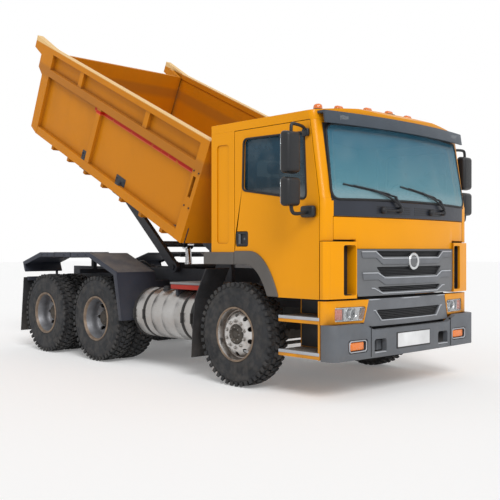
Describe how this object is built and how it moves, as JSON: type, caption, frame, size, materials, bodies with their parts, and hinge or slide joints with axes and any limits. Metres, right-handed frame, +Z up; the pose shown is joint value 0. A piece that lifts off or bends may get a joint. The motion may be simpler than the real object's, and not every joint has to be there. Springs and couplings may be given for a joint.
{
  "type": "three-axle dump truck",
  "caption": "Forward-control tipping truck with a hinged bed standing raised on a lever hoist, opening doors, steered front wheels and twin driven rear wheels.",
  "frame": {"origin": "on the ground below the middle of the truck's length and width", "axes": "+X forward, +Y to the truck's left, +Z up"},
  "size_m": [6.1, 3.22, 4.5473],
  "materials": {
    "chassis_paint": "satin blue-black paint",
    "shaft_steel": "oiled steel",
    "engine_iron": "painted cast iron",
    "tank_aluminium": "brushed aluminium",
    "box_plastic": "grained black plastic",
    "tank_grey": "satin blue-black paint",
    "black_rubber": "matt rubber",
    "grey_plastic": "grained grey plastic",
    "cab_paint": "gloss orange paint",
    "lamp_clear": "clear lens",
    "lamp_amber": "amber lens",
    "window_glass": "tinted laminated glass",
    "dark_glass": "dark tempered glass",
    "dash_plastic": "grained plastic",
    "seat_fabric": "woven seat cloth",
    "mirror_black": "black plastic",
    "bed_paint": "satin orange paint, worn",
    "rod_chrome": "hard chrome",
    "tyre_rubber": "matt tyre rubber",
    "front_rim_alloy": "polished aluminium",
    "rear_rim_steel": "dusty grey paint"
  },
  "bodies": {
    "chassis": {"frame": "chassis_paint", "subframe": "chassis_paint", "tank_brackets": "chassis_paint", "fender_brackets": "chassis_paint", "front_axle": "chassis_paint", "drive_axles": "chassis_paint", "leaf_springs": "chassis_paint", "drive_shafts": "shaft_steel", "engine": "engine_iron", "fuel_tank": "tank_aluminium", "battery_box": "box_plastic", "hydraulic_tank": "tank_grey", "rear_fenders": "chassis_paint", "mud_flaps": "black_rubber", "wheel_guards": "black_rubber", "bumper": "grey_plastic", "lower_grille": "grey_plastic", "headlamp_panels": "cab_paint", "headlamps": "lamp_clear", "cab": "cab_paint", "roof": "cab_paint", "sun_visor": "grey_plastic", "roof_lamps": "lamp_amber", "cab_windows": "window_glass", "dashboard": "dash_plastic", "seats": "seat_fabric", "steering_wheel": "dash_plastic", "air_deflectors": "cab_paint", "cab_steps": "cab_paint", "cab_flares": "grey_plastic"},
    "front_flap": {"front_panel": "cab_paint", "grille": "grey_plastic"},
    "right_door": {"door_right": "cab_paint", "door_glass_right": "dark_glass", "door_flare_right": "grey_plastic", "mirrors_right": "mirror_black"},
    "left_door": {"door_left": "cab_paint", "door_glass_left": "dark_glass", "door_flare_left": "grey_plastic", "mirrors_left": "mirror_black"},
    "bed": {"bed": "bed_paint"},
    "tailgate": {"tailgate": "bed_paint"},
    "hoist_arms": {"hoist_arms": "chassis_paint"},
    "hoist_barrel": {"hoist_cylinder": "chassis_paint"},
    "hoist_rod": {"hoist_rod": "rod_chrome"},
    "right_knuckle": {"knuckle_right": "chassis_paint"},
    "left_knuckle": {"knuckle_left": "chassis_paint"},
    "tie_rod": {"tie_rod": "chassis_paint"},
    "front_right_wheel": {"tyre_front_right": "tyre_rubber", "rim_front_right": "front_rim_alloy"},
    "front_left_wheel": {"tyre_front_left": "tyre_rubber", "rim_front_left": "front_rim_alloy"},
    "middle_right_wheels": {"tyres_middle_right": "tyre_rubber", "rims_middle_right": "rear_rim_steel"},
    "middle_left_wheels": {"tyres_middle_left": "tyre_rubber", "rims_middle_left": "rear_rim_steel"},
    "rear_right_wheels": {"tyres_rear_right": "tyre_rubber", "rims_rear_right": "rear_rim_steel"},
    "rear_left_wheels": {"tyres_rear_left": "tyre_rubber", "rims_rear_left": "rear_rim_steel"}
  },
  "joints": [
    {"name": "bed_tilt", "type": "hinge", "parent": "chassis", "child": "bed", "pos_m": [0.58242, 0, 1.4], "axis": [0, 1, 0], "range_deg": [-25.7, 0]},
    {"name": "tailgate_swing", "type": "hinge", "parent": "bed", "child": "tailgate", "pos_m": [-2.43105, 0, 4.34849], "axis": [0, 1, 0], "range_deg": [0, 60]},
    {"name": "hoist_arm_swing", "type": "hinge", "parent": "chassis", "child": "hoist_arms", "pos_m": [-0.31758, 0, 1.22], "axis": [0, 1, 0], "range_deg": [-37.37, 0]},
    {"name": "cylinder_swing", "type": "hinge", "parent": "chassis", "child": "hoist_barrel", "pos_m": [-0.56758, 0, 0.84], "axis": [0, 1, 0], "range_deg": [-18.43, 0]},
    {"name": "rod_slide", "type": "slide", "parent": "hoist_barrel", "child": "hoist_rod", "axis": [-0.1234, 0, 0.9924], "range_m": [-0.2253, 0]},
    {"name": "front_flap_lift", "type": "hinge", "parent": "chassis", "child": "front_flap", "pos_m": [3.00525, 0, 1.93], "axis": [0, -1, 0], "range_deg": [0, 75]},
    {"name": "right_door_swing", "type": "hinge", "parent": "chassis", "child": "right_door", "pos_m": [2.85, -1.25, 1.8], "axis": [0, 0, 1], "range_deg": [0, 70]},
    {"name": "left_door_swing", "type": "hinge", "parent": "chassis", "child": "left_door", "pos_m": [2.85, 1.25, 1.8], "axis": [0, 0, -1], "range_deg": [0, 70]},
    {"name": "steering", "type": "hinge", "parent": "chassis", "child": "right_knuckle", "pos_m": [1.65, -0.92, 0.55], "axis": [0, 0, 1], "range_deg": [-35, 35]},
    {"name": "left_steering", "type": "hinge", "parent": "chassis", "child": "left_knuckle", "pos_m": [1.65, 0.92, 0.55], "axis": [0, 0, 1], "range_deg": [-35, 35]},
    {"name": "tie_rod_pivot", "type": "hinge", "parent": "right_knuckle", "child": "tie_rod", "pos_m": [1.492, -0.92, 0.39], "axis": [0, 0, 1], "range_deg": [-35, 35]},
    {"name": "front_right_wheel_spin", "type": "hinge", "parent": "right_knuckle", "child": "front_right_wheel", "pos_m": [1.65, -1.1, 0.55], "axis": [0, 1, 0], "continuous": true},
    {"name": "front_left_wheel_spin", "type": "hinge", "parent": "left_knuckle", "child": "front_left_wheel", "pos_m": [1.65, 1.1, 0.55], "axis": [0, 1, 0], "continuous": true},
    {"name": "middle_right_wheel_spin", "type": "hinge", "parent": "chassis", "child": "middle_right_wheels", "pos_m": [-1.03, -0.945, 0.55], "axis": [0, 1, 0], "continuous": true},
    {"name": "middle_left_wheel_spin", "type": "hinge", "parent": "chassis", "child": "middle_left_wheels", "pos_m": [-1.03, 0.945, 0.55], "axis": [0, 1, 0], "continuous": true},
    {"name": "rear_right_wheel_spin", "type": "hinge", "parent": "chassis", "child": "rear_right_wheels", "pos_m": [-2.33, -0.945, 0.55], "axis": [0, 1, 0], "continuous": true},
    {"name": "rear_left_wheel_spin", "type": "hinge", "parent": "chassis", "child": "rear_left_wheels", "pos_m": [-2.33, 0.945, 0.55], "axis": [0, 1, 0], "continuous": true}
  ],
  "couplings": [
    {"joint": "hoist_arm_swing", "follows": "bed_tilt", "ratio": 1.454},
    {"joint": "cylinder_swing", "follows": "bed_tilt", "ratio": 0.71707},
    {"joint": "rod_slide", "follows": "bed_tilt", "m_per_rad": 0.50193},
    {"joint": "left_steering", "follows": "steering", "ratio": 1},
    {"joint": "tie_rod_pivot", "follows": "steering", "ratio": -1}
  ]
}
